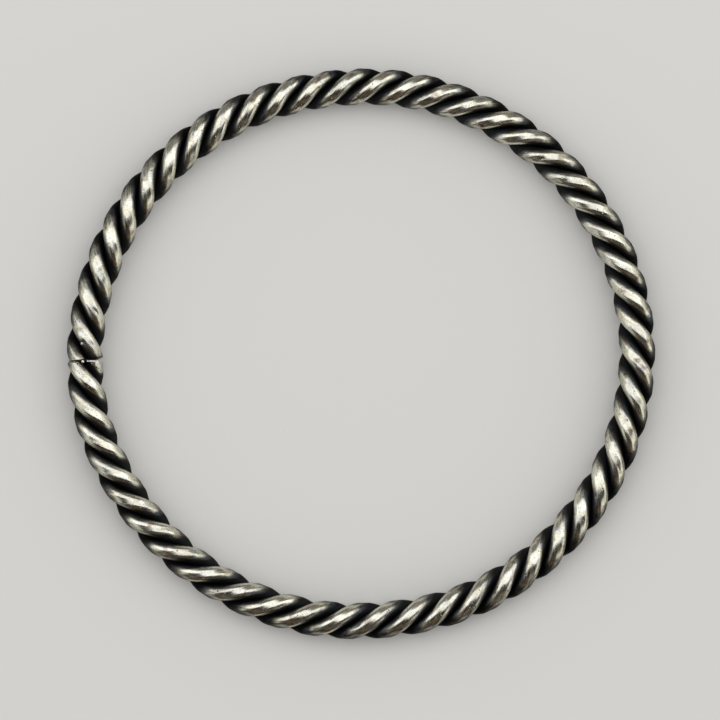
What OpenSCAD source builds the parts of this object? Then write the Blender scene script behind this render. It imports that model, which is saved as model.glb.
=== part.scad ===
// Bangle of three round wires twisted to the left into one cord, bent into a slightly oval ring that lies
// flat, and soldered where its ends meet. The origin is under the ring's middle, on the surface it lies on,
// with its long way along X. Sizes are in millimetres and angles in degrees. A place round the cord is its
// turn from straight outwards towards the top.

/* [Ring] */
// Width inside the ring, the long way
inside_long = 63.1; // [50:0.1:80]
// Width inside the ring, the short way
inside_short = 61; // [48:0.1:80]
// Percentage of its radius by which the ring strays from an even oval
bend_unevenness = 0.15; // [0:0.01:0.6]

/* [Wires] */
// Diameter of each wire
wire_d = 2; // [1.2:0.1:2.4]
// Clearance between neighbouring wires where the twist is tightest
wire_gap = 0.04; // [0.03:0.01:0.1]
// Depth that wear has taken off each wire's crest
crest_wear = 0.06; // [0:0.01:0.2]

/* [Twist] */
// Length of cord that takes one full turn of each wire
lay_length = 12.2; // [11:0.1:24]
// Percentage by which the lay grows towards a quarter of the way round, and shrinks towards three quarters
lay_unevenness = 4.4; // [0:0.1:10]
// Turn at which the first wire starts
first_wire_turn = 25; // [0:1:120]

/* [Joint] */
// Place of the joint round the ring, counterclockwise from the long way
joint_place = 177.5; // [0:0.5:360]
// Turn by which the wires miss each other across the joint
joint_mismatch = 30; // [0:1:119]
// Thickness of the solder between the cut ends
solder_t = 0.2; // [0.1:0.05:0.6]
// Clearance between the solder and the cut ends
solder_gap = 0.02; // [0.02:0.01:0.1]
// Depth of the solder's rim below the cord's outside
solder_recess = 0.25; // [0.1:0.05:0.25]
// Diameter of the solder bead in the groove beside the first wire
bead_d = 0.4; // [0.3:0.05:0.6]

/* [Hidden] */

// The wires share the turn equally, and a groove lies midway between two of them
wire_count = 3;
wire_step = 360 / wire_count;
groove_turn = first_wire_turn + wire_step / 2;
wire_r = wire_d / 2;

// Sides of a wire's outline, rings for each turn of the twist, and steps of the ring's measured path
wire_sides = 10;
rings_per_turn = 14;
path_steps = 360;

// The hand-twisted lay is uneven in waves from the joint round to the joint.
// Each row: [waves round the ring, share of the unevenness, turn of the wave at the joint]
lay_waves = [
    [1, 1, 4],
    [2, 0.23, -50],
    [3, 0.27, 178],
    [4, 0.13, -167]
];

function total(values, i = 0) = i == len(values) ? 0 : values[i] + total(values, i + 1);

// How fast the wires turn at a share of the way round, where an even lay turns them at a rate of 1
function turn_rate(share) =
    1 - lay_unevenness / 100 * total([for (w = lay_waves) w[1] * sin(360 * w[0] * share + w[2])]);

rate_samples = 360;
tightest_rate = max([for (i = [0 : rate_samples - 1]) turn_rate(i / rate_samples)]);

// Two helixes of one cord come nearest a little ahead of each other, not square across the cord. The radius
// on which the wires just clear each other is found by halving in on that slip and the radius together.
clear_d = wire_d + wire_gap;
tight_advance = lay_length / tightest_rate / 360;
settling_passes = 60;

function nearest_slip(r, slip) =
    -sin(wire_step + slip) * r * r * PI / 180 / pow(tight_advance, 2);

function clear_radius(slip) =
    sqrt((pow(clear_d, 2) - pow(tight_advance * slip, 2)) / (2 - 2 * cos(wire_step + slip)));

function settled_radius(slip, passes) =
    passes == 0 ? clear_radius(slip)
    : settled_radius((slip + nearest_slip(clear_radius(slip), slip)) / 2, passes - 1);

helix_r = settled_radius(0, settling_passes);
lay_angle = atan(2 * PI * helix_r / lay_length);

// The cord's outside, and the oval that its middle follows
cord_r = helix_r + wire_r - crest_wear;
path_long = inside_long / 2 + cord_r;
path_short = inside_short / 2 + cord_r;

// The oval is bent by hand, so it is uneven in waves round the ring.
// Each row: [waves round the ring, share of the unevenness, turn of the wave on the long way]
bend_waves = [
    [2, 0.54, 133],
    [3, 0.69, 161],
    [4, 0.63, 1],
    [5, 0.5, 154],
    [6, 0.98, -17],
    [7, 0.5, 137],
    [10, 0.44, -40]
];

function stray(place) =
    1 + bend_unevenness / 100 * total([for (w = bend_waves) w[1] * cos(w[0] * place + w[2])]);

function oval_point(place) = stray(place) * [path_long * cos(place), path_short * sin(place)];

// The uneven oval is moved so that the middle of its widths is the ring's middle
path_step = 360 / path_steps;
oval_points = [for (i = [0 : path_steps - 1]) oval_point(path_step * i)];
function middle_width(widths) = (max(widths) + min(widths)) / 2;
oval_middle = [for (axis = [0, 1]) middle_width([for (p = oval_points) p[axis]])];

function path_point(place) = concat(oval_point(place) - oval_middle, [cord_r]);

// Direction of the way out of the ring, square to the path
function way_out(place) =
    let (along = oval_point(place + path_step) - oval_point(place - path_step))
    atan2(-along[0], along[1]);

// Each row: [length of path from the joint, place round the ring]
path_rows = [
    for (i = 0, place = joint_place, run = 0; i <= path_steps;
         run = run + norm(path_point(place + path_step) - path_point(place)),
         place = place + path_step,
         i = i + 1)
    [run, place]
];
path_length = path_rows[path_steps][0];

// A wire leaves off where one of the wires began, but for the mismatch
steps_round = round(wire_count * path_length / lay_length);
turns = (steps_round * wire_step + joint_mismatch) / 360;
turn_swing = turns * lay_unevenness / 100 * 180 / PI;

// Turn by which the uneven lay has fallen behind an even one
function turn_lag(share) =
    turn_swing * total([for (w = lay_waves) w[1] / w[0] * (cos(w[2]) - cos(360 * w[0] * share + w[2]))]);

function twist(run) =
    let (share = run / path_length)
    first_wire_turn + 360 * turns * share - turn_lag(share);

// A wire's outline where a plane square to the cord cuts it, as [distance from the cord's middle, turn].
// Each point of the wire's round outline is slid along the helix until it lies in that plane.
function outline_point(around) =
    let (
        out = helix_r + wire_r * cos(around),
        side = wire_r * sin(around) * cos(lay_angle),
        slide = wire_r * sin(around) * sin(lay_angle)
    )
    [min(norm([out, side]), cord_r), atan2(side, out) + 360 * slide / lay_length];

outline = [for (side = [0 : wire_sides - 1]) outline_point(360 * side / wire_sides)];

// A point at a distance and turn round the cord's middle, at one place of the ring
function cord_point(place, distance, turn) =
    let (out = distance * cos(turn))
    path_point(place) + [out * cos(way_out(place)), out * sin(way_out(place)), distance * sin(turn)];

// The wires stop square to the cord, short of the joint's middle by half the solder and the clearance
end_run = solder_t / 2 + solder_gap;
ring_count = round(turns * rings_per_turn);
ring_runs = [for (i = [0 : ring_count]) end_run + (path_length - 2 * end_run) * i / ring_count];

function wire_ring(run, start_turn) =
    let (place = lookup(run, path_rows))
    [for (p = outline) cord_point(place, p[0], p[1] + twist(run) + start_turn)];

// The four corners between two rings and two sides make two triangles
function wire_facets(i, side) =
    let (
        next = (side + 1) % wire_sides,
        here = i * wire_sides,
        ahead = here + wire_sides
    )
    [[here + side, here + next, ahead + next], [here + side, ahead + next, ahead + side]];

module strand(start_turn) {
    points = [for (run = ring_runs) each wire_ring(run, start_turn)];
    first_end = [for (side = [wire_sides - 1 : -1 : 0]) side];
    last_end = [for (side = [0 : wire_sides - 1]) ring_count * wire_sides + side];
    facets = [for (i = [0 : ring_count - 1], side = [0 : wire_sides - 1]) each wire_facets(i, side)];
    color("silver")
        polyhedron(points, concat([first_end, last_end], facets));
}

// A film of solder fills the joint, and its bead stands ahead of it in the groove beside the first wire
module solder_joint() {
    color("dimgray")
        translate(path_point(joint_place))
            rotate([0, 0, way_out(joint_place)])
                union() {
                    solder_film();
                    solder_bead();
                }
}

module solder_film() {
    rotate([90, 0, 0])
        cylinder(h = solder_t, r = cord_r - solder_recess, center = true, $fn = 64);
}

module solder_bead() {
    distance = cord_r - bead_d / 2;
    ahead = bead_d / 2 - solder_t / 2;
    translate([distance * cos(groove_turn), ahead, distance * sin(groove_turn)])
        sphere(d = bead_d, $fn = 32);
}

strand(0);  // strand_1
strand(wire_step);  // strand_2
strand(2 * wire_step);  // strand_3
solder_joint();
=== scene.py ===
"""A worn silver bangle: three round wires twisted to the left into one cord, soldered into an oval ring."""

import logging
import math
import random
from collections.abc import Callable, Sequence
from dataclasses import dataclass, field
from enum import Enum
from functools import cached_property

import bmesh
import bpy
import numpy as np
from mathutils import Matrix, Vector


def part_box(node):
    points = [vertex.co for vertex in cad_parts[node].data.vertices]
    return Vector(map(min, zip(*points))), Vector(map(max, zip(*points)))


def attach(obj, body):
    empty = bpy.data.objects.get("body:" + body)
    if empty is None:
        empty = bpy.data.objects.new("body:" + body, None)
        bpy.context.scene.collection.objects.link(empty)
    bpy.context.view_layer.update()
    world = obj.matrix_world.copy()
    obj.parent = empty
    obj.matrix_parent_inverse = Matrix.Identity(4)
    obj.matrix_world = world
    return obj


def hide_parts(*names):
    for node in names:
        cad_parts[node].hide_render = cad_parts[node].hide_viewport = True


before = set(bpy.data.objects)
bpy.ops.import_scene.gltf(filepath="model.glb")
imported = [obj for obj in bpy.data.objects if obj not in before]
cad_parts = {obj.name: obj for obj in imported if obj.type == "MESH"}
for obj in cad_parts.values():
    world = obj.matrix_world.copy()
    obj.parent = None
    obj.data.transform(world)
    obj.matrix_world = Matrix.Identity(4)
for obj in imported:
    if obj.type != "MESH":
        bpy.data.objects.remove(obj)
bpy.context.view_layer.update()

LOG = logging.getLogger("bangle")
BODY = "root"
MM = 0.001
FULL_TURN = 2 * math.pi
RING_MIDDLE = (0.0, 0.0, 0.0)

Colour = tuple[float, float, float]
Place = tuple[float, float, float]
# Where a range starts and ends, and what its two ends become if that isn't 0 and 1
Spread = tuple[float, ...]
Piece = bpy.types.Object
Socket = bpy.types.NodeSocket


class Strand(Enum):
    """The three wires of the cord, by the names of their solids."""

    FIRST = "strand_1"
    SECOND = "strand_2"
    THIRD = "strand_3"

    @property
    def number(self) -> int:
        """The wire's place in the cord's turn, from 0."""
        return list(Strand).index(self)


class Slot(Enum):
    """The record's material slots."""

    WIRE = "silver_wire"
    SOLDER = "silver_solder"


@dataclass(frozen=True)
class Wave:
    """A wave of the handwork's unevenness round the ring, with its share of it and its turn at the start."""

    count: int
    share: float
    start: float

    def height(self, way_round: float) -> float:
        """How far out the wave bends the ring, as a share of the whole unevenness."""
        return self.share * math.cos(FULL_TURN * self.count * way_round + math.radians(self.start))

    def rate(self, way_round: float) -> float:
        """How much the wave slows the twist, as a share of the whole unevenness."""
        return self.share * math.sin(FULL_TURN * self.count * way_round + math.radians(self.start))

    def behind(self, way_round: float) -> float:
        """Turn by which the wave has left the wires behind, as a share of the whole unevenness."""
        return (self.height(0) - self.height(way_round)) / self.count


@dataclass(frozen=True)
class CordSizes:
    """Sizes of the cord and its ring, in millimetres and degrees, as the part's own solids have them.

    A straight cord runs along +X from the middle of the joint, with +Y towards the inside of the ring and
    +Z up. A turn round it is measured from straight outwards towards the top.
    """

    inside_long: float = 63.1
    inside_short: float = 61.0
    bend_unevenness: float = 0.0015
    bend_waves: tuple[Wave, ...] = (
        Wave(2, 0.54, 133), Wave(3, 0.69, 161), Wave(4, 0.63, 1), Wave(5, 0.5, 154),
        Wave(6, 0.98, -17), Wave(7, 0.5, 137), Wave(10, 0.44, -40),
    )
    wire_d: float = 2.0
    wire_gap: float = 0.04
    crest_wear: float = 0.06
    lay_length: float = 12.2
    lay_unevenness: float = 0.044
    lay_waves: tuple[Wave, ...] = (
        Wave(1, 1.0, 4), Wave(2, 0.23, -50), Wave(3, 0.27, 178), Wave(4, 0.13, -167),
    )
    first_wire_turn: float = 25.0
    joint_place: float = 177.5
    joint_mismatch: float = 30.0
    solder_t: float = 0.2
    solder_gap: float = 0.02
    solder_recess: float = 0.25
    bead_d: float = 0.4
    settling_passes: int = 60

    @property
    def wire_r(self) -> float:
        """Radius of one wire."""
        return self.wire_d / 2

    @property
    def wire_step(self) -> float:
        """Turn from one wire to the next."""
        return 360 / len(Strand)

    @cached_property
    def helix_r(self) -> float:
        """Radius on which the wires just clear each other where the twist is tightest."""
        clear = self.wire_d + self.wire_gap
        slowed = [sum(wave.rate(step / 360) for wave in self.lay_waves) for step in range(360)]
        advance = self.lay_length / (1 - self.lay_unevenness * min(slowed)) / 360
        slip = radius = 0.0
        for _ in range(self.settling_passes):
            turn = math.radians(self.wire_step + slip)
            radius = math.sqrt((clear**2 - (advance * slip) ** 2) / (2 - 2 * math.cos(turn)))
            slip = (slip - math.sin(turn) * radius**2 * math.radians(1) / advance**2) / 2
        return radius

    @property
    def cord_r(self) -> float:
        """Radius of the worn cord."""
        return self.helix_r + self.wire_r - self.crest_wear

    def oval_point(self, place: float) -> Vector:
        """A point of the hand-bent oval that the cord's middle follows, before the oval is centred.

        Args:
            place: The place round the oval, in degrees.

        Returns:
            The point.
        """
        stray = sum(wave.height(place / 360) for wave in self.bend_waves)
        angle = math.radians(place)
        path_long = self.inside_long / 2 + self.cord_r
        path_short = self.inside_short / 2 + self.cord_r
        even = Vector((path_long * math.cos(angle), path_short * math.sin(angle), 0))
        return even * (1 + self.bend_unevenness * stray)

    @cached_property
    def oval_middle(self) -> Vector:
        """Middle of the oval's widths, which is the ring's middle."""
        points = np.array([self.oval_point(place) for place in range(360)])
        return Vector(((points.max(axis=0) + points.min(axis=0)) / 2).tolist())

    def path_point(self, place: float) -> Vector:
        """A point of the cord's middle, seen from above."""
        return self.oval_point(place) - self.oval_middle

    def path_way(self, place: float) -> Vector:
        """How far the cord's middle would go in a radian round the oval, and which way."""
        return (self.oval_point(place + 1) - self.oval_point(place - 1)) / math.radians(2)

    @cached_property
    def path_length(self) -> float:
        """Length of the cord's middle, from the joint round to the joint."""
        points = [self.path_point(self.joint_place + step) for step in range(361)]
        return sum((ahead - here).length for here, ahead in zip(points, points[1:]))

    @property
    def turns(self) -> float:
        """Turns of each wire round the cord, from end to end."""
        steps = round(len(Strand) * self.path_length / self.lay_length)
        return (steps * self.wire_step + self.joint_mismatch) / 360

    @property
    def lay(self) -> float:
        """Length of straight cord that takes one turn, on average."""
        return self.path_length / self.turns

    def turn_lag(self, way_round: float) -> float:
        """Turn, in radians, by which the uneven lay has fallen behind an even one."""
        behind = sum(wave.behind(way_round) for wave in self.lay_waves)
        return self.turns * self.lay_unevenness * behind

    @property
    def wire_slope(self) -> float:
        """Angle, in radians, between a wire and the cord."""
        return math.atan(FULL_TURN * self.helix_r / self.lay)

    @property
    def end_run(self) -> float:
        """Distance of a wire's end from the middle of the joint."""
        return self.solder_t / 2 + self.solder_gap

    def at(self, run: float, distance: float, turn: float) -> Place:
        """The place in the straight cord at a run, a distance from its middle and a turn in degrees."""
        angle = math.radians(turn)
        return run, -distance * math.cos(angle), distance * math.sin(angle)


def activate(piece: Piece) -> None:
    """Makes a piece the only selected object, and the active one."""
    bpy.ops.object.select_all(action="DESELECT")
    piece.select_set(True)
    bpy.context.view_layer.objects.active = piece


def start_piece(name: str, add: Callable[..., set[str]], **settings: object) -> Piece:
    """Adds a primitive with nothing else selected.

    Args:
        name: The new piece's name.
        add: The operator that adds the primitive.
        **settings: The operator's own settings.

    Returns:
        The new piece, in object mode.
    """
    bpy.ops.object.select_all(action="DESELECT")
    add(**settings)
    piece = bpy.context.object
    piece.name = piece.data.name = name
    bpy.ops.object.transform_apply(location=True, rotation=True, scale=True)
    return piece


def edit_points(piece: Piece, wanted: Callable[[Vector], bool] | None = None) -> None:
    """Opens a piece in edit mode with the points selected whose place passes a test.

    Args:
        piece: The piece to edit.
        wanted: The test of a point's place, or None for all points.
    """
    activate(piece)
    bpy.ops.object.mode_set(mode="EDIT")
    bpy.ops.mesh.select_mode(type="VERT")
    bpy.ops.mesh.select_all(action="SELECT" if wanted is None else "DESELECT")
    if wanted is not None:
        points = bmesh.from_edit_mesh(piece.data)
        for point in points.verts:
            point.select = wanted(point.co)
        points.select_flush_mode()
        bmesh.update_edit_mesh(piece.data)


def close_edit() -> None:
    """Leaves edit mode."""
    bpy.ops.object.mode_set(mode="OBJECT")


def shift(piece: Piece, by: Place) -> None:
    """Moves a piece's mesh, with its object left at the origin."""
    edit_points(piece)
    bpy.ops.transform.translate(value=by)
    close_edit()


def bake(piece: Piece, name: str, kind: str, **settings: object) -> None:
    """Adds a modifier to a piece and applies it.

    Args:
        piece: The piece to change.
        name: The modifier's name.
        kind: Its type.
        **settings: Its settings.
    """
    activate(piece)
    modifier = piece.modifiers.new(name, kind)
    for setting, value in settings.items():
        setattr(modifier, setting, value)
    bpy.ops.object.modifier_apply(modifier=name)


def point_places(piece: Piece) -> np.ndarray:
    """The places of a piece's points, a row each."""
    places = np.empty(len(piece.data.vertices) * 3, np.float32)
    piece.data.vertices.foreach_get("co", places)
    return places.reshape(-1, 3)


def keep_number(piece: Piece, name: str, values: np.ndarray) -> None:
    """Keeps a number for each point of a piece, for its material to read."""
    attribute = piece.data.attributes.new(name, "FLOAT", "POINT")
    attribute.data.foreach_set("value", values.astype(np.float32))


def weigh_points(piece: Piece, name: str, weights: np.ndarray) -> None:
    """Makes a vertex group of the points that have a weight.

    Args:
        piece: The piece to mark.
        name: The group's name.
        weights: A weight from 0 to 1 for each point.
    """
    group = piece.vertex_groups.new(name=name)
    for index in np.flatnonzero(weights > 0.01).tolist():
        group.add([index], float(weights[index]), "REPLACE")


def clouds(name: str, size: float, depth: int = 2) -> bpy.types.Texture:
    """A cloudy texture for displacing a surface, with patches of a size in millimetres."""
    texture = bpy.data.textures.new(name, "CLOUDS")
    texture.noise_scale = size
    texture.noise_depth = depth
    return texture


def to_metres(piece: Piece) -> None:
    """Brings a piece that was modelled in millimetres to its real size."""
    edit_points(piece)
    bpy.ops.transform.resize(value=(MM, MM, MM), center_override=RING_MIDDLE)
    close_edit()


@dataclass
class RingFormer:
    """The oval former that straight pieces of the cord are bent round."""

    sizes: CordSizes
    spans: int = 48
    steps_in_span: int = 24
    joint_wander: float = 0.16
    joint_reach: float = 0.7
    wander_size: float = 0.7
    curve: Piece = field(init=False)

    def __post_init__(self) -> None:
        """Makes the former's curve, whose tilt makes the lay uneven."""
        sizes = self.sizes
        data = bpy.data.curves.new("former", "CURVE")
        data.dimensions = "3D"
        data.twist_mode = "Z_UP"
        data.resolution_u = self.steps_in_span
        data.use_deform_bounds = False
        spline = data.splines.new("BEZIER")
        spline.bezier_points.add(self.spans)
        span = FULL_TURN / self.spans
        # Handles of this length make a span follow a round arc
        reach = 4 / 3 * math.tan(span / 4)
        for number, point in enumerate(spline.bezier_points):
            place = sizes.joint_place + math.degrees(number * span)
            handle = sizes.path_way(place) * reach
            point.handle_left_type = point.handle_right_type = "FREE"
            point.co = sizes.path_point(place)
            point.handle_left = point.co - handle
            point.handle_right = point.co + handle
            point.tilt = sizes.turn_lag(number / self.spans)
        self.curve = bpy.data.objects.new("former", data)
        bpy.context.collection.objects.link(self.curve)

    def bend(self, piece: Piece) -> None:
        """Bends a straight piece round the former, and lays it on the ground."""
        bake(piece, "bend", "CURVE", object=self.curve, deform_axis="POS_X")
        shift(piece, (0, 0, self.sizes.cord_r))
        self._wander_joint(piece)

    def _wander_joint(self, piece: Piece) -> None:
        """Lets the joint's crack wander as it crosses the cord."""
        off = np.abs(point_places(piece)[:, 1] - self.sizes.path_point(self.sizes.joint_place).y)
        side = point_places(piece)[:, 0] < 0
        weigh_points(piece, "joint", np.clip(1 - off / self.joint_reach, 0, 1) * side)
        bake(
            piece, "wander", "DISPLACE", texture=clouds("wander", self.wander_size), texture_coords="LOCAL",
            direction="Y", strength=self.joint_wander, mid_level=0.5, vertex_group="joint",
        )
        piece.vertex_groups.clear()

    def put_away(self) -> None:
        """Removes the former, which is no part of the bangle."""
        bpy.data.objects.remove(self.curve)


@dataclass(frozen=True)
class Stain:
    """A dark stain on the cord, or a rubbed place where its depth is below 0.

    It is in millimetres and degrees, with its run measured from the joint.
    """

    run: float
    turn: float
    length: float
    width: float
    depth: float

    def strength(self, sizes: CordSizes, places: np.ndarray) -> np.ndarray:
        """How dark the stain makes points of the straight cord.

        Args:
            sizes: The cord's sizes.
            places: The points, a row each.

        Returns:
            A number for each point, from 0 to the stain's depth.
        """
        middle = sizes.at(self.run % sizes.path_length, sizes.cord_r, self.turn)
        off = places - np.array(middle)
        across = np.hypot(off[:, 1], off[:, 2]) / self.width
        return self.depth * np.exp(-((off[:, 0] / self.length) ** 2) - across**2)


@dataclass
class WireStrand:
    """One wire of the cord, from joint to joint."""

    strand: Strand
    sizes: CordSizes
    former: RingFormer
    sides: int = 44
    rings_per_turn: int = 100
    worn_share: float = 0.25
    joint_skew: float = 5.0
    joint_shift: float = -0.05
    end_chamfer: float = 0.05
    unevenness: float = 0.07
    uneven_size: float = 1.6
    stains: tuple[Stain, ...] = (
        Stain(-2.42, 84, 0.24, 0.34, 0.8), Stain(-0.35, 138, 0.3, 0.7, 0.9), Stain(-0.6, 66, 0.2, 0.2, 0.5),
        Stain(-0.5, 78, 0.35, 0.4, -0.9), Stain(0.55, 146, 0.7, 0.75, -1.0), Stain(1.3, 158, 0.8, 0.7, -0.9),
    )
    nicks: int = 30
    nick_depth: float = 0.05
    nick_turn: float = 0.9
    nick_length: tuple[float, float] = (0.12, 0.4)
    nick_width: tuple[float, float] = (0.09, 0.16)
    nick_share: tuple[float, float] = (0.3, 1.0)
    lead_turns: float = 0.75
    smooth_angle: float = 40.0
    seed: int = 11

    def build(self) -> Piece:
        """Models the wire.

        Returns:
            The wire at its real size and place.
        """
        wire = self._outline()
        self._twist(wire)
        self._note_surface(wire)
        self._cut_ends(wire)
        self.former.bend(wire)
        self._note_sides(wire)
        self._work_by_hand(wire)
        self._nick(wire)
        to_metres(wire)
        activate(wire)
        bpy.ops.object.shade_smooth_by_angle(angle=math.radians(self.smooth_angle))
        return wire

    def _outline(self) -> Piece:
        """The worn round outline of the wire, square to its helix and ahead of the joint."""
        sizes = self.sizes
        wire = start_piece(
            self.strand.value + "_wire", bpy.ops.mesh.primitive_circle_add,
            vertices=self.sides, radius=sizes.wire_r,
        )
        worn = sizes.wire_r - sizes.crest_wear / (1 - self.worn_share)
        edit_points(wire, lambda place: place.y > worn)
        bpy.ops.transform.resize(value=(1, self.worn_share, 1), center_override=(0, worn, 0))
        lead = sizes.lay * self.lead_turns
        turn = sizes.first_wire_turn + sizes.wire_step * self.strand.number - 360 * lead / sizes.lay
        bpy.ops.mesh.select_all(action="SELECT")
        bpy.ops.transform.rotate(value=math.pi / 2, orient_axis="Y", center_override=RING_MIDDLE)
        bpy.ops.transform.rotate(value=-sizes.wire_slope, orient_axis="Y", center_override=RING_MIDDLE)
        bpy.ops.transform.translate(value=(-lead, sizes.helix_r, 0))
        bpy.ops.transform.rotate(
            value=math.radians(turn - 180), orient_axis="X", center_override=RING_MIDDLE
        )
        close_edit()
        return wire

    def _twist(self, wire: Piece) -> None:
        """Draws the outline along its left-handed helix, past both ends of the straight cord."""
        bake(
            wire, "twist", "SCREW", axis="X", angle=-FULL_TURN, screw_offset=self.sizes.lay,
            iterations=math.ceil(self.sizes.turns + 1), steps=self.rings_per_turn,
            render_steps=self.rings_per_turn, use_smooth_shade=True,
        )

    def _note_surface(self, wire: Piece) -> None:
        """Keeps each point's distance from the cord's middle, and its place on the wire before twisting."""
        places = point_places(wire)
        ring, side = np.divmod(np.arange(len(places)), self.sides)
        around = FULL_TURN * side / self.sides
        step = math.hypot(self.sizes.lay, FULL_TURN * self.sizes.helix_r) / self.rings_per_turn
        drawn = np.stack([np.cos(around), np.sin(around), ring * step], axis=1)
        keep_number(wire, "from_middle", np.hypot(places[:, 1], places[:, 2]))
        keep_number(wire, "stain", sum(stain.strength(self.sizes, places) for stain in self.stains))
        attribute = wire.data.attributes.new("drawn", "FLOAT_VECTOR", "POINT")
        attribute.data.foreach_set("vector", drawn.astype(np.float32).ravel())

    def _note_sides(self, wire: Piece) -> None:
        """Keeps how far each point of the bent wire lies above or below the cord's middle, and outside it."""
        places = point_places(wire)
        path = np.array([self.sizes.path_point(place) for place in range(360)])
        ring_r = np.interp(
            np.arctan2(places[:, 1], places[:, 0]), np.arctan2(path[:, 1], path[:, 0]),
            np.hypot(path[:, 0], path[:, 1]), period=FULL_TURN,
        )
        out = np.hypot(places[:, 0], places[:, 1]) - ring_r
        up = places[:, 2] - self.sizes.cord_r
        keep_number(wire, "rise", np.abs(up) / self.sizes.cord_r)
        keep_number(wire, "outward", out / np.hypot(out, up))

    def _cut_ends(self, wire: Piece) -> None:
        """Cuts both ends off, a little askew as by hand, and breaks the edges of the cuts."""
        sizes = self.sizes
        skew = math.radians(self.joint_skew)
        normal = Vector((math.cos(skew), math.sin(skew), 0))
        first = sizes.end_run + self.joint_shift
        last = sizes.path_length - sizes.end_run + self.joint_shift
        for run, way in ((first, -1), (last, 1)):
            edit_points(wire)
            bpy.ops.mesh.bisect(
                plane_co=(run - way * self.end_chamfer, 0, 0), plane_no=normal, use_fill=True,
                clear_inner=way < 0, clear_outer=way > 0,
            )
            bpy.ops.mesh.select_mode(type="FACE")
            bpy.ops.mesh.extrude_region_move(
                TRANSFORM_OT_translate={"value": normal * way * self.end_chamfer}
            )
            share = 1 - self.end_chamfer / sizes.wire_r
            bpy.ops.transform.resize(value=(1, share, share))
            close_edit()
        edit_points(wire)
        bpy.ops.mesh.normals_make_consistent(inside=False)
        close_edit()

    def _work_by_hand(self, wire: Piece) -> None:
        """Gives the wire the slight unevenness of handwork."""
        bake(
            wire, "hand_work", "DISPLACE", texture=clouds("hand_work", self.uneven_size),
            texture_coords="LOCAL", strength=self.unevenness, mid_level=0.5,
        )

    def _nick(self, wire: Piece) -> None:
        """Presses small nicks into the wire's crest."""
        drawn = np.empty(len(wire.data.vertices) * 3, np.float32)
        wire.data.attributes["drawn"].data.foreach_get("vector", drawn)
        drawn = drawn.reshape(-1, 3)
        around = np.arctan2(drawn[:, 1], drawn[:, 0])
        chance = random.Random(self.seed + self.strand.number)
        weights = np.zeros(len(drawn))
        for _ in range(self.nicks):
            along = chance.uniform(0, drawn[:, 2].max())
            turn = chance.uniform(-self.nick_turn, self.nick_turn)
            length = chance.uniform(*self.nick_length)
            width = chance.uniform(*self.nick_width)
            depth = chance.uniform(*self.nick_share)
            off = ((drawn[:, 2] - along) / length) ** 2 + ((around - turn) / width) ** 2
            weights = np.maximum(weights, depth * np.exp(-off))
        weigh_points(wire, "nicks", weights)
        bake(wire, "nicks", "DISPLACE", strength=-self.nick_depth, mid_level=0, vertex_group="nicks")
        wire.vertex_groups.clear()
        keep_number(wire, "nick", weights)


@dataclass(frozen=True)
class Bead:
    """A bead of solder, by its run, its depth below the cord's outside, its turn and its radius."""

    run: float
    below: float
    turn: float
    radius: float


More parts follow.
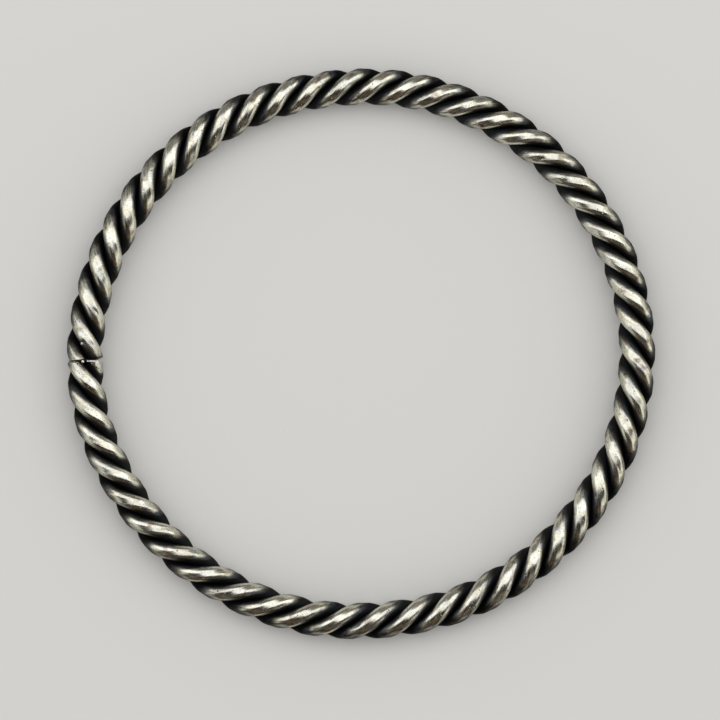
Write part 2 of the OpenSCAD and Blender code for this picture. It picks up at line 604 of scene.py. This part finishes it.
@dataclass
class SolderJoint:
    """The solder between the cut ends of the cord, with what ran out of it."""

    sizes: CordSizes
    former: RingFormer
    skew: float = WireStrand.joint_skew
    middle_shift: float = WireStrand.joint_shift
    web: tuple[Bead, ...] = (
        Bead(0.07, 0.05, 101, 0.11), Bead(0.07, 0.01, 106, 0.13), Bead(0.07, -0.02, 111, 0.15),
        Bead(0.08, -0.04, 116, 0.17), Bead(0.09, -0.04, 121, 0.19), Bead(0.1, -0.04, 126, 0.21),
        Bead(0.11, -0.04, 132, 0.22), Bead(0.11, -0.03, 138, 0.22), Bead(0.1, -0.02, 144, 0.21),
        Bead(0.08, 0, 150, 0.18), Bead(0.2, -0.01, 130, 0.45), Bead(0.32, -0.01, 134, 0.5),
        Bead(0.25, -0.06, 141, 0.55), Bead(0.42, -0.06, 144, 0.55), Bead(0.46, 0, 139, 0.5),
        Bead(0.58, -0.05, 149, 0.55), Bead(0.64, 0, 144, 0.5), Bead(0.75, -0.02, 153, 0.5),
    )
    clear_of_film: float = 0.02
    bright_ahead: float = 0.6
    bright_edge: float = 0.1
    grain: float = 0.03
    roughness: float = 0.07
    lump_size: float = 0.35
    drop_d: float = 0.46
    drop_run: float = -2.07
    drop_turn: float = 80.0
    drop_distance: float = 1.86

    def build(self) -> Piece:
        """Models the film of solder with its bead and its web.

        Returns:
            The solder at its real size and place.
        """
        sizes = self.sizes
        solder = start_piece(
            "solder", bpy.ops.mesh.primitive_cylinder_add, vertices=72,
            radius=sizes.cord_r - sizes.solder_recess, depth=sizes.solder_t,
            rotation=(0, math.pi / 2, 0), location=(self.middle_shift, 0, 0),
        )
        edit_points(solder, lambda place: place.x > self.middle_shift)
        self._skew(1)
        edit_points(solder, lambda place: place.x < self.middle_shift)
        self._skew(-1)
        self._add_bead(solder)
        bake(solder, "fuse", "REMESH", mode="VOXEL", voxel_size=self.grain, use_smooth_shade=True)
        bake(solder, "settle", "SMOOTH", factor=0.5, iterations=3)
        self._note_bright(solder, sizes.cord_r - sizes.solder_recess + self.clear_of_film)
        self.former.bend(solder)
        self._roughen(solder)
        to_metres(solder)
        return solder

    def _skew(self, way: int) -> None:
        """Turns the selected face of the film to the skewed cut."""
        bpy.ops.transform.rotate(
            value=-math.radians(self.skew), orient_axis="Z", center_override=(self.middle_shift, 0, 0)
        )
        close_edit()

    def _add_bead(self, solder: Piece) -> None:
        """Sets the bead in the groove on top, and beads that make a web over the next wire's end."""
        sizes = self.sizes
        turn = sizes.first_wire_turn + sizes.wire_step / 2
        ahead = sizes.bead_d / 2 - sizes.solder_t / 2
        parts = [solder]
        for bead in (Bead(ahead, 0, turn, sizes.bead_d / 2), *self.web):
            place = sizes.at(bead.run, sizes.cord_r - bead.radius - bead.below, bead.turn)
            part = start_piece(
                "bead", bpy.ops.mesh.primitive_uv_sphere_add, segments=32, ring_count=16,
                radius=bead.radius, location=place,
            )
            parts.append(part)
        bpy.ops.object.select_all(action="DESELECT")
        for part in parts:
            part.select_set(True)
        bpy.context.view_layer.objects.active = solder
        bpy.ops.object.join()

    def build_drop(self) -> Piece:
        """Models the drop of solder that stuck in the groove before the joint.

        Returns:
            The drop at its real size and place.
        """
        sizes = self.sizes
        place = sizes.at(sizes.path_length + self.drop_run, self.drop_distance, self.drop_turn)
        drop = start_piece(
            "solder_drop", bpy.ops.mesh.primitive_uv_sphere_add, segments=32, ring_count=18,
            radius=self.drop_d / 2, scale=(1.1, 0.9, 0.8), location=place,
        )
        self._note_bright(drop, self.drop_distance)
        self.former.bend(drop)
        self._roughen(drop)
        to_metres(drop)
        activate(drop)
        bpy.ops.object.shade_smooth()
        return drop

    def _note_bright(self, piece: Piece, distance: float) -> None:
        """Keeps how bright straight solder is, which grows as it stands clear of the cord's middle.

        Args:
            piece: The straight solder.
            distance: How far from the middle it starts to be bright. Ahead of the joint it starts nearer.
        """
        places = point_places(piece)
        clear = np.hypot(places[:, 1], places[:, 2]) - distance
        ahead = np.clip(places[:, 0], 0, 1) * self.bright_ahead * (places[:, 0] < self.sizes.lay)
        keep_number(piece, "bright", np.clip((clear + ahead) / self.bright_edge, 0, 1))

    def _roughen(self, piece: Piece) -> None:
        """Gives the solder its lumpy surface."""
        bake(
            piece, "lumps", "DISPLACE", texture=clouds("lumps", self.lump_size), texture_coords="LOCAL",
            strength=self.roughness, mid_level=0.5,
        )


@dataclass(frozen=True)
class Noise:
    """Smooth noise on a surface, and what it does there.

    Its scale is in patches to a millimetre, and its ways stretch it over the drawn wire. It takes its wear
    off the tarnish, stands as high as its relief in millimetres, and makes a part of the metal's lustre.
    """

    scale: float
    detail: float
    rough: float
    ways: Place | None = None
    wear: float = 0.0
    relief: float = 0.0
    lustre: Spread = (0, 1, 0, 0)


class Graph:
    """A node tree in the making, with a short call for each kind of node that the finishes use."""

    def __init__(self, tree: bpy.types.NodeTree) -> None:
        """Starts from an empty tree."""
        self.tree = tree
        tree.nodes.clear()

    def node(self, kind: str, **settings: object) -> bpy.types.Node:
        """Adds a node.

        Args:
            kind: The node's type.
            **settings: The node's settings.

        Returns:
            The new node.
        """
        node = self.tree.nodes.new(kind)
        for setting, value in settings.items():
            setattr(node, setting, value)
        return node

    def feed(self, socket: Socket, value: object) -> None:
        """Links an output to a socket, or sets the socket's own value."""
        if isinstance(value, Socket):
            self.tree.links.new(value, socket)
        elif isinstance(value, tuple) and socket.type == "RGBA":
            socket.default_value = (*value, 1)
        else:
            socket.default_value = value

    def sum(self, operation: str, *values: object) -> Socket:
        """The result of a Math node on one to three values."""
        node = self.node("ShaderNodeMath", operation=operation)
        for socket, value in zip(node.inputs, values):
            self.feed(socket, value)
        return node.outputs[0]

    def spread(
        self, value: object, low: float, high: float, to_low: float = 0, to_high: float = 1,
        smooth: bool = True,
    ) -> Socket:
        """Maps a range of a value to another range.

        Args:
            value: The value to map.
            low: Where the range starts.
            high: Where it ends.
            to_low: What its start becomes.
            to_high: What its end becomes.
            smooth: Whether it eases in and out.

        Returns:
            The mapped value's socket.
        """
        kind = "SMOOTHSTEP" if smooth else "LINEAR"
        node = self.node("ShaderNodeMapRange", interpolation_type=kind)
        for name, number in (
            ("Value", value), ("From Min", low), ("From Max", high), ("To Min", to_low), ("To Max", to_high)
        ):
            self.feed(node.inputs[name], number)
        return node.outputs["Result"]

    def mix(self, share: object, low: object, high: object) -> Socket:
        """A colour between two colours."""
        node = self.node("ShaderNodeMix", data_type="RGBA")
        self.feed(node.inputs[0], share)
        self.feed(node.inputs[6], low)
        self.feed(node.inputs[7], high)
        return node.outputs[2]

    def stretch(self, place: object, scale: object) -> Socket:
        """A place scaled along its own three ways, or a colour tinted by another or shaded by a number."""
        node = self.node("ShaderNodeVectorMath", operation="MULTIPLY")
        self.feed(node.inputs[0], place)
        self.feed(node.inputs[1], scale)
        return node.outputs[0]

    def noise(self, place: object, noise: Noise) -> Socket:
        """A smooth noise, from 0 to 1, as read at a place."""
        where = place if noise.ways is None else self.stretch(place, noise.ways)
        node = self.node("ShaderNodeTexNoise")
        for name, value in (
            ("Vector", where), ("Scale", noise.scale), ("Detail", noise.detail), ("Roughness", noise.rough)
        ):
            self.feed(node.inputs[name], value)
        return node.outputs[0]

    def rub(self, rubbed: object, value: object, wear: float) -> Socket:
        """The rubbing, changed by how far a noise's value is from its middle."""
        return self.sum("MULTIPLY_ADD", self.sum("SUBTRACT", value, 0.5), wear, rubbed)

    def millimetres(self) -> Socket:
        """The place on the bangle, in millimetres."""
        return self.stretch(self.node("ShaderNodeTexCoord").outputs["Object"], (1 / MM,) * 3)

    def kept(self, name: str, output: str = "Fac") -> Socket:
        """What a piece keeps for each point."""
        return self.node("ShaderNodeAttribute", attribute_name=name).outputs[output]

    def show(self, surface: Socket, kind: str = "ShaderNodeOutputMaterial") -> None:
        """Makes a surface the tree's result."""
        self.feed(self.node(kind).inputs["Surface"], surface)

    def show_metal(self, patina: bpy.types.Node, rough: object, height: object) -> None:
        """Makes a bumpy metal the material's result.

        Args:
            patina: The patina's node, with the metal's colour.
            rough: How rough the metal is.
            height: How high its surface stands, in millimetres.
        """
        bump = self.node("ShaderNodeBump")
        bump.inputs["Distance"].default_value = MM
        self.feed(bump.inputs["Height"], height)
        surface = self.node("ShaderNodeBsdfPrincipled")
        for name, value in (
            ("Base Color", patina.outputs["Color"]), ("Roughness", rough),
            ("Metallic", patina.outputs["Metallic"]), ("Normal", bump.outputs["Normal"]),
        ):
            self.feed(surface.inputs[name], value)
        self.show(surface.outputs[0])


def new_material(name: str) -> tuple[bpy.types.Material, Graph]:
    """Starts a material, with its empty graph."""
    material = bpy.data.materials.new(name)
    material.use_nodes = True
    return material, Graph(material.node_tree)


class Kind(Enum):
    """Kinds of a node group's sockets."""

    NUMBER = "NodeSocketFloat"
    VECTOR = "NodeSocketVector"
    COLOUR = "NodeSocketColor"


class Effects:
    """Effects that both finishes use, each a node group made once."""

    # How far the rubbing has to go for each colour, and what it makes of the gloss and the metal
    SLATE_SHOWS: Spread = (0.2, 0.6)
    BROWN_SHOWS: Spread = (0.46, 0.78)
    BRIGHT_SHOWS: Spread = (0.64, 0.96)
    DULLNESS: Spread = (0.2, 0.85, 0.4, 0)
    METALLIC: Spread = (0.1, 0.6, 0.93, 1)
    PIT_SIZES: Spread = (0, 1, 0.4, 1)
    PIT_EDGE: Spread = (1, 0.4)

    def __init__(self) -> None:
        """Makes the groups."""
        self.patina = self._patina()
        self.pitting = self._pitting()

    def _group(
        self, name: str, inputs: dict[str, Kind], outputs: dict[str, Kind]
    ) -> tuple[Graph, bpy.types.Node, bpy.types.Node]:
        """Starts a node group.

        Args:
            name: The group's name.
            inputs: Its inputs' names and kinds.
            outputs: Its outputs' names and kinds.

        Returns:
            The group's graph, its input node and its output node.
        """
        tree = bpy.data.node_groups.new(name, "ShaderNodeTree")
        for socket, kind in inputs.items():
            tree.interface.new_socket(name=socket, in_out="INPUT", socket_type=kind.value)
        for socket, kind in outputs.items():
            tree.interface.new_socket(name=socket, in_out="OUTPUT", socket_type=kind.value)
        graph = Graph(tree)
        return graph, graph.node("NodeGroupInput"), graph.node("NodeGroupOutput")

    def _patina(self) -> bpy.types.NodeTree:
        """Tarnish that rubbing has taken off, with the painted shade that the wire adds to the rubbing:
        black, then slate, brown and bright as the rubbing grows.

        Returns:
            The node group, with outputs Color, Roughness and Metallic.
        """
        graph, given, out = self._group(
            "patina",
            {
                "Rubbed": Kind.NUMBER, "Bright": Kind.COLOUR, "Brown": Kind.COLOUR,
                "Slate": Kind.COLOUR, "Black": Kind.COLOUR, "Polish": Kind.NUMBER,
            },
            {"Color": Kind.COLOUR, "Roughness": Kind.NUMBER, "Metallic": Kind.NUMBER},
        )
        rubbed = given.outputs["Rubbed"]
        colour = given.outputs["Black"]
        for name, shows in (
            ("Slate", self.SLATE_SHOWS), ("Brown", self.BROWN_SHOWS), ("Bright", self.BRIGHT_SHOWS)
        ):
            colour = graph.mix(graph.spread(rubbed, *shows), colour, given.outputs[name])
        dull = graph.spread(rubbed, *self.DULLNESS)
        graph.feed(out.inputs["Color"], colour)
        graph.feed(out.inputs["Roughness"], graph.sum("ADD", given.outputs["Polish"], dull))
        graph.feed(out.inputs["Metallic"], graph.spread(rubbed, *self.METALLIC))
        return graph.tree

    def _pitting(self) -> bpy.types.NodeTree:
        """Small pits scattered over a surface.

        Returns:
            The node group, with output Mask, 1 in a pit.
        """
        graph, given, out = self._group(
            "pitting",
            {"Place": Kind.VECTOR, "Density": Kind.NUMBER, "Share": Kind.NUMBER,
             "Width": Kind.NUMBER},
            {"Mask": Kind.NUMBER},
        )
        cells = graph.node("ShaderNodeTexVoronoi")
        graph.feed(cells.inputs["Vector"], given.outputs["Place"])
        graph.feed(cells.inputs["Scale"], given.outputs["Density"])
        parts = graph.node("ShaderNodeSeparateColor")
        graph.feed(parts.inputs[0], cells.outputs["Color"])
        chosen = graph.sum("LESS_THAN", parts.outputs[0], given.outputs["Share"])
        size = graph.spread(parts.outputs[1], *self.PIT_SIZES)
        size = graph.sum("MULTIPLY", given.outputs["Width"], size)
        near = graph.sum("DIVIDE", cells.outputs["Distance"], size)
        pit = graph.spread(near, *self.PIT_EDGE)
        graph.feed(out.inputs["Mask"], graph.sum("MULTIPLY", chosen, pit))
        return graph.tree

    def place(self, graph: Graph, group: bpy.types.NodeTree, **values: object) -> bpy.types.Node:
        """Puts an effect into a material.

        Args:
            graph: The material's graph.
            group: The effect.
            **values: The effect's inputs.

        Returns:
            The effect's node.
        """
        node = graph.node("ShaderNodeGroup", node_tree=group)
        for name, value in values.items():
            graph.feed(node.inputs[name], value)
        return node


@dataclass(frozen=True)
class SilverWireFinish:
    """Drawn silver wire, rubbed bright on the crests and black with tarnish in the grooves, with painted
    shade on its flanks and on the ring's outside, and painted bounce light deep in one side of its grooves.
    """

    bright: Colour = (0.93, 0.91, 0.80)
    # Dull grey low on the cord's flanks: part tarnish, part painted shade
    dull: Colour = (0.62, 0.6, 0.54)
    cool: Colour = (0.985, 1.01, 1.055)
    warm: Colour = (1.015, 0.985, 0.9)
    brown: Colour = (0.24, 0.14, 0.085)
    olive: Colour = (0.2, 0.195, 0.16)
    slate: Colour = (0.085, 0.088, 0.1)
    umber: Colour = (0.045, 0.04, 0.032)
    black: Colour = (0.005, 0.005, 0.005)
    # A less deep black in the grooves on one flank of each wire: painted light bounced from the neighbouring
    # wire
    bounce_lit_black: Colour = (0.02, 0.021, 0.022)
    polish: float = 0.25
    patches: Noise = Noise(0.45, 3, 0.55, wear=0.34, lustre=(0.35, 0.65, -0.12, 0.05))
    streaks: Noise = Noise(
        1.0, 3, 0.6, ways=(2.2, 2.2, 0.35), wear=0.4, relief=0.011, lustre=(0.3, 0.7, -0.12, 0.04)
    )
    lines: Noise = Noise(
        1.0, 3, 0.6, ways=(6.0, 6.0, 0.4), wear=0.16, relief=0.005, lustre=(0.3, 0.6, -0.08, 0.03)
    )
    speckle: Noise = Noise(4.5, 3, 0.65, wear=0.09, relief=0.004, lustre=(0.3, 0.7, 0.8, 1))
    tone: Noise = Noise(0.7, 2, 0.6)
    tone_turns: Spread = (0.38, 0.62)
    blotches: Noise = Noise(0.8, 2, 0.5)
    blotch_shows: Spread = (0.56, 0.74, 0, 0.6)
    warmth: Noise = Noise(1.3, 3, 0.7)
    warmth_turns: Spread = (0.36, 0.62)
    pit_wear: float = -0.22
    pit_relief: float = -0.03
    stain_wear: float = -0.5
    bare: Spread = (1.3, 2.19)
    # Darker low on the cord's flanks: part tarnish, part painted shade
    flank_wear_and_shade: Spread = (0, 0.62, -0.62, 0)
    lean: Spread = (0.2, 0.8, 0.05, 0.1)
    # Darker crests on the outside of the ring: painted shade
    outer_shade: Spread = (0.55, 0.9, 0, -0.2)
    # Where the flanks turn from dull grey to bright by height on the cord: part handling wear, part painted
    # shade
    handling_and_flank_shade: Spread = (0.1, 0.7)
    # Where that painted bounce light shows, by the place round the drawn wire
    bounce_lit_flank: Spread = (-0.3, -1.0)
    line_roughness: Spread = (0.3, 0.7, -0.05, 0.07)

    def material(self, effects: Effects) -> bpy.types.Material:
        """Makes the finish.

        Args:
            effects: The shared effects.

        Returns:
            The material.
        """
        material, graph = new_material("worn_silver_wire")
        place = graph.millimetres()
        drawn = graph.kept("drawn", "Vector")
        side = graph.node("ShaderNodeSeparateXYZ")
        graph.feed(side.inputs[0], drawn)
        noises = {
            noise: graph.noise(place if noise.ways is None else drawn, noise)
            for noise in (self.patches, self.streaks, self.lines, self.speckle)
        }
        pits = effects.place(graph, effects.pitting, Place=place, Density=1.7, Share=0.3, Width=0.24)
        small = effects.place(graph, effects.pitting, Place=place, Density=4.0, Share=0.22, Width=0.3)
        dug = graph.sum("MAXIMUM", pits.outputs["Mask"], small.outputs["Mask"])
        dug = graph.sum("MAXIMUM", dug, graph.kept("nick"))
        # Dull grey on the cord's flanks, bright on its top and bottom: part wear, part painted shade
        worn = graph.mix(graph.spread(graph.kept("rise"), *self.handling_and_flank_shade), self.dull, self.bright)
        lustre = 0.0
        for noise in (self.streaks, self.speckle, self.lines, self.patches):
            lustre = graph.sum("ADD", lustre, graph.spread(noises[noise], *noise.lustre))
        warmth = graph.spread(graph.noise(place, self.warmth), *self.warmth_turns)
        tinted = graph.stretch(graph.stretch(worn, lustre), graph.mix(warmth, self.cool, self.warm))
        stained = graph.spread(graph.noise(place, self.blotches), *self.blotch_shows)
        stained = graph.sum("ADD", stained, graph.kept("stain"))
        tone = graph.spread(graph.noise(place, self.tone), *self.tone_turns)
        # Painted bounce light deep in the grooves on one flank of each wire
        bounce_lit_flank = graph.spread(side.outputs["Y"], *self.bounce_lit_flank)
        # The wire's rubbing also carries painted shade on its flanks and on the ring's outside
        patina = effects.place(
            graph, effects.patina, Rubbed=self._rubbed_and_shaded(graph, side, noises, dug),
            Bright=graph.mix(stained, tinted, self.brown), Brown=graph.mix(tone, self.olive, self.slate),
            Slate=graph.mix(tone, self.umber, self.slate), Black=graph.mix(bounce_lit_flank, self.black, self.bounce_lit_black),
            Polish=self.polish,
        )
        rough = graph.spread(noises[self.lines], *self.line_roughness)
        rough = graph.sum("ADD", patina.outputs["Roughness"], rough)
        height = 0.0
        for noise in (self.lines, self.streaks, self.speckle):
            height = graph.sum("MULTIPLY_ADD", noises[noise], noise.relief, height)
        graph.show_metal(patina, rough, graph.sum("MULTIPLY_ADD", dug, self.pit_relief, height))
        return material

    def _rubbed_and_shaded(
        self, graph: Graph, side: bpy.types.Node, noises: dict[Noise, Socket], dug: Socket
    ) -> Socket:
        """How far rubbing has taken the tarnish off, with painted shade low on the cord's flanks and on the
        crests outside the ring.

        Args:
            graph: The material's graph.
            side: The node with the place round the drawn wire.
            noises: The value of each noise.
            dug: The mask of pits and nicks, which hold the tarnish.

        Returns:
            The socket of the rubbing with its painted shade, from 0 or less where it is black to 1 where it
            is bright.
        """
        outward = graph.kept("outward")
        rubbed = graph.spread(graph.kept("from_middle"), *self.bare, smooth=False)
        # Darker low on the cord's flanks: part tarnish, part painted shade
        rubbed = graph.sum("ADD", rubbed, graph.spread(graph.kept("rise"), *self.flank_wear_and_shade, smooth=False))
        # Lighter towards one flank of each wire, and painted shade on the crests on the ring's outside
        for axis, leaning in (("Y", self.lean), ("X", self.outer_shade)):
            rubbed = graph.sum("MULTIPLY_ADD", side.outputs[axis], graph.spread(outward, *leaning), rubbed)
        for noise, value in noises.items():
            rubbed = graph.rub(rubbed, value, noise.wear)
        rubbed = graph.sum("MULTIPLY_ADD", dug, self.pit_wear, rubbed)
        return graph.sum("MULTIPLY_ADD", graph.kept("stain"), self.stain_wear, rubbed)


@dataclass(frozen=True)
class SolderFinish:
    """Cast-looking solder: dull and dark, with the metal bright where it stands proud."""

    bright: Colour = (0.88, 0.86, 0.82)
    brown: Colour = (0.26, 0.22, 0.17)
    slate: Colour = (0.09, 0.09, 0.09)
    black: Colour = (0.02, 0.02, 0.02)
    polish: float = 0.25
    rubbed: float = 0.3
    lumps: Noise = Noise(2.5, 3, 0.6, wear=0.6, relief=0.05)
    pit_wear: float = -0.15

    def material(self, effects: Effects) -> bpy.types.Material:
        """Makes the finish.

        Args:
            effects: The shared effects.

        Returns:
            The material.
        """
        material, graph = new_material("tarnished_solder")
        place = graph.millimetres()
        lumps = graph.noise(place, self.lumps)
        rubbed = graph.rub(self.rubbed, lumps, self.lumps.wear)
        rubbed = graph.sum("ADD", rubbed, graph.kept("bright"))
        pits = effects.place(graph, effects.pitting, Place=place, Density=5.0, Share=0.25, Width=0.4)
        rubbed = graph.sum("MULTIPLY_ADD", pits.outputs["Mask"], self.pit_wear, rubbed)
        patina = effects.place(
            graph, effects.patina, Rubbed=rubbed, Bright=self.bright, Brown=self.brown,
            Slate=self.slate, Black=self.black, Polish=self.polish,
        )
        height = graph.sum("MULTIPLY", lumps, self.lumps.relief)
        graph.show_metal(patina, patina.outputs["Roughness"], height)
        return material


@dataclass(frozen=True)
class SoftLight:
    """A plain softbox, in metres and watts for each square metre and steradian."""

    name: str
    width: float
    depth: float
    place: Place
    aim: Place
    glow: float
    colour: Colour

    def build(self) -> None:
        """Hangs the light, out of the camera's sight."""
        data = bpy.data.lights.new(self.name, "AREA")
        data.shape = "RECTANGLE"
        data.size, data.size_y = self.width, self.depth
        data.color = self.colour
        data.energy = self.glow * math.pi * self.width * self.depth
        light = bpy.data.objects.new(self.name, data)
        bpy.context.collection.objects.link(light)
        light.location = self.place
        light.rotation_euler = (Vector(self.aim) - Vector(self.place)).to_track_quat("-Z", "Y").to_euler()
        light.visible_camera = False


@dataclass
class Studio:
    """The pale floor, the soft lights and the camera straight above, in metres and degrees."""

    sizes: CordSizes
    floor_size: float = 8.0
    floor_colour: Colour = (0.57, 0.563, 0.543)
    floor_mirrored: Colour = (0.45, 0.442, 0.405)
    far_mirrored: Colour = (0.09, 0.088, 0.08)
    mirrored_reach: tuple[float, float] = (0.036, 0.06)
    view_height: float = 0.9
    view_field: float = 0.0882
    view_roll: float = -3.8
    view_offset: tuple[float, float] = (-0.000184, -0.000735)
    sensor: float = 36.0
    gloom: Colour = (0.022, 0.02, 0.017)
    glow: Colour = (0.5, 0.5, 0.5)
    backdrop: Colour = (0.6, 0.6, 0.59)
    lights: tuple[SoftLight, ...] = (
        SoftLight("main_light", 3.1, 1.15, (0.0, 0.43, 1.0), (0.0, 0.43, 0.0), 1.3, (0.99, 1.0, 1.02)),
        SoftLight("left_light", 2.45, 1.15, (-1.5, 0.07, 0.58), (0.0, 0.07, 0.58), 0.62, (1.0, 1.0, 0.94)),
        SoftLight("right_light", 3.1, 1.3, (1.5, -0.2, 0.65), (0.0, -0.2, 0.65), 0.76, (1.0, 1.0, 0.92)),
        SoftLight("corner_light", 1.5, 1.5, (1.35, -1.35, 0.8), (0.0, 0.0, 0.8), 0.16, (1.0, 1.0, 0.95)),
        SoftLight("far_light", 4.0, 1.4, (0.0, 1.75, 0.7), (0.0, 0.0, 0.7), 0.16, (1.0, 0.96, 0.85)),
        SoftLight("near_light", 2.5, 0.6, (0.0, -1.0, 0.68), (0.0, 0.0, 0.0), 0.075, (1.0, 0.66, 0.4)),
    )

    def build(self) -> None:
        """Sets up the studio."""
        self._floor()
        self._world()
        for light in self.lights:
            light.build()
        self._camera()
        bpy.context.scene.view_settings.view_transform = "Standard"

    def _floor(self) -> None:
        """Lays the floor, pale to the eye and dim where the silver mirrors it."""
        floor = start_piece("floor", bpy.ops.mesh.primitive_plane_add, size=self.floor_size)
        material, graph = new_material("pale_floor")
        ray = graph.node("ShaderNodeLightPath").outputs
        surface = graph.node("ShaderNodeBsdfPrincipled")
        away = graph.node("ShaderNodeVectorMath", operation="LENGTH")
        graph.feed(away.inputs[0], graph.node("ShaderNodeTexCoord").outputs["Object"])
        far = graph.spread(away.outputs["Value"], *self.mirrored_reach)
        mirrored = graph.mix(far, self.floor_mirrored, self.far_mirrored)
        colour = graph.mix(ray["Is Glossy Ray"], self.floor_colour, mirrored)
        graph.feed(surface.inputs["Base Color"], colour)
        graph.feed(surface.inputs["Roughness"], 0.8)
        graph.show(surface.outputs[0])
        floor.data.materials.append(material)

    def _world(self) -> None:
        """Makes the room dim for what is reflected, and pale behind the floor."""
        world = bpy.data.worlds.new("room")
        world.use_nodes = True
        graph = Graph(world.node_tree)
        ray = graph.node("ShaderNodeLightPath").outputs
        colour = graph.mix(ray["Is Diffuse Ray"], self.gloom, self.glow)
        colour = graph.mix(ray["Is Camera Ray"], colour, self.backdrop)
        room = graph.node("ShaderNodeBackground")
        graph.feed(room.inputs["Color"], colour)
        graph.show(room.outputs[0], "ShaderNodeOutputWorld")
        bpy.context.scene.world = world

    def _camera(self) -> None:
        """Hangs the camera straight above the ring, turned as the picture is."""
        data = bpy.data.cameras.new("camera")
        data.sensor_width = self.sensor
        data.lens = self.sensor * self.view_height / self.view_field
        data.clip_start, data.clip_end = 0.01, 20
        camera = bpy.data.objects.new("camera", data)
        bpy.context.collection.objects.link(camera)
        roll = math.radians(self.view_roll)
        across, up = self.view_offset
        middle = self.sizes.oval_middle * MM
        camera.location = (
            across * math.cos(roll) - up * math.sin(roll) - middle.x,
            across * math.sin(roll) + up * math.cos(roll) - middle.y,
            self.view_height + self.sizes.cord_r * MM,
        )
        camera.rotation_euler = (0, 0, roll)
        bpy.context.scene.camera = camera


def dress(piece: Piece, material: bpy.types.Material, node: str | None = None) -> None:
    """Gives a piece its finish, fixes it to the frame and reports it.

    Args:
        piece: The finished piece.
        material: Its material.
        node: The solid that it stands for, if any.
    """
    piece.data.materials.clear()
    piece.data.materials.append(material)
    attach(piece, BODY)
    if node is not None:
        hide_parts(node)
    places = point_places(piece) / MM
    size = places.max(axis=0) - places.min(axis=0)
    triangles = sum(len(face.vertices) - 2 for face in piece.data.polygons)
    LOG.info("%s: %d triangles, %.2f x %.2f x %.2f mm", piece.name, triangles, *size)
    if node is not None:
        off = max((places.min(axis=0) - Vector(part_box(node)[0]) / MM).tolist(), key=abs)
        LOG.info("%s: lowest corner within %.2f mm of %s's", piece.name, abs(off), node)


def main() -> None:
    """Models the bangle, gives it its finishes and sets up the studio."""
    logging.basicConfig(level=logging.INFO, format="%(name)s: %(message)s")
    sizes = CordSizes()
    studio = Studio(sizes)
    studio.build()
    former = RingFormer(sizes)
    effects = Effects()
    silver = SilverWireFinish().material(effects)
    solder = SolderFinish().material(effects)
    for strand in Strand:
        dress(WireStrand(strand, sizes, former).build(), silver, strand.value)
    joint = SolderJoint(sizes, former)
    dress(joint.build(), solder, "solder_joint")
    dress(joint.build_drop(), solder)
    former.put_away()


if __name__ == "__main__":
    main()
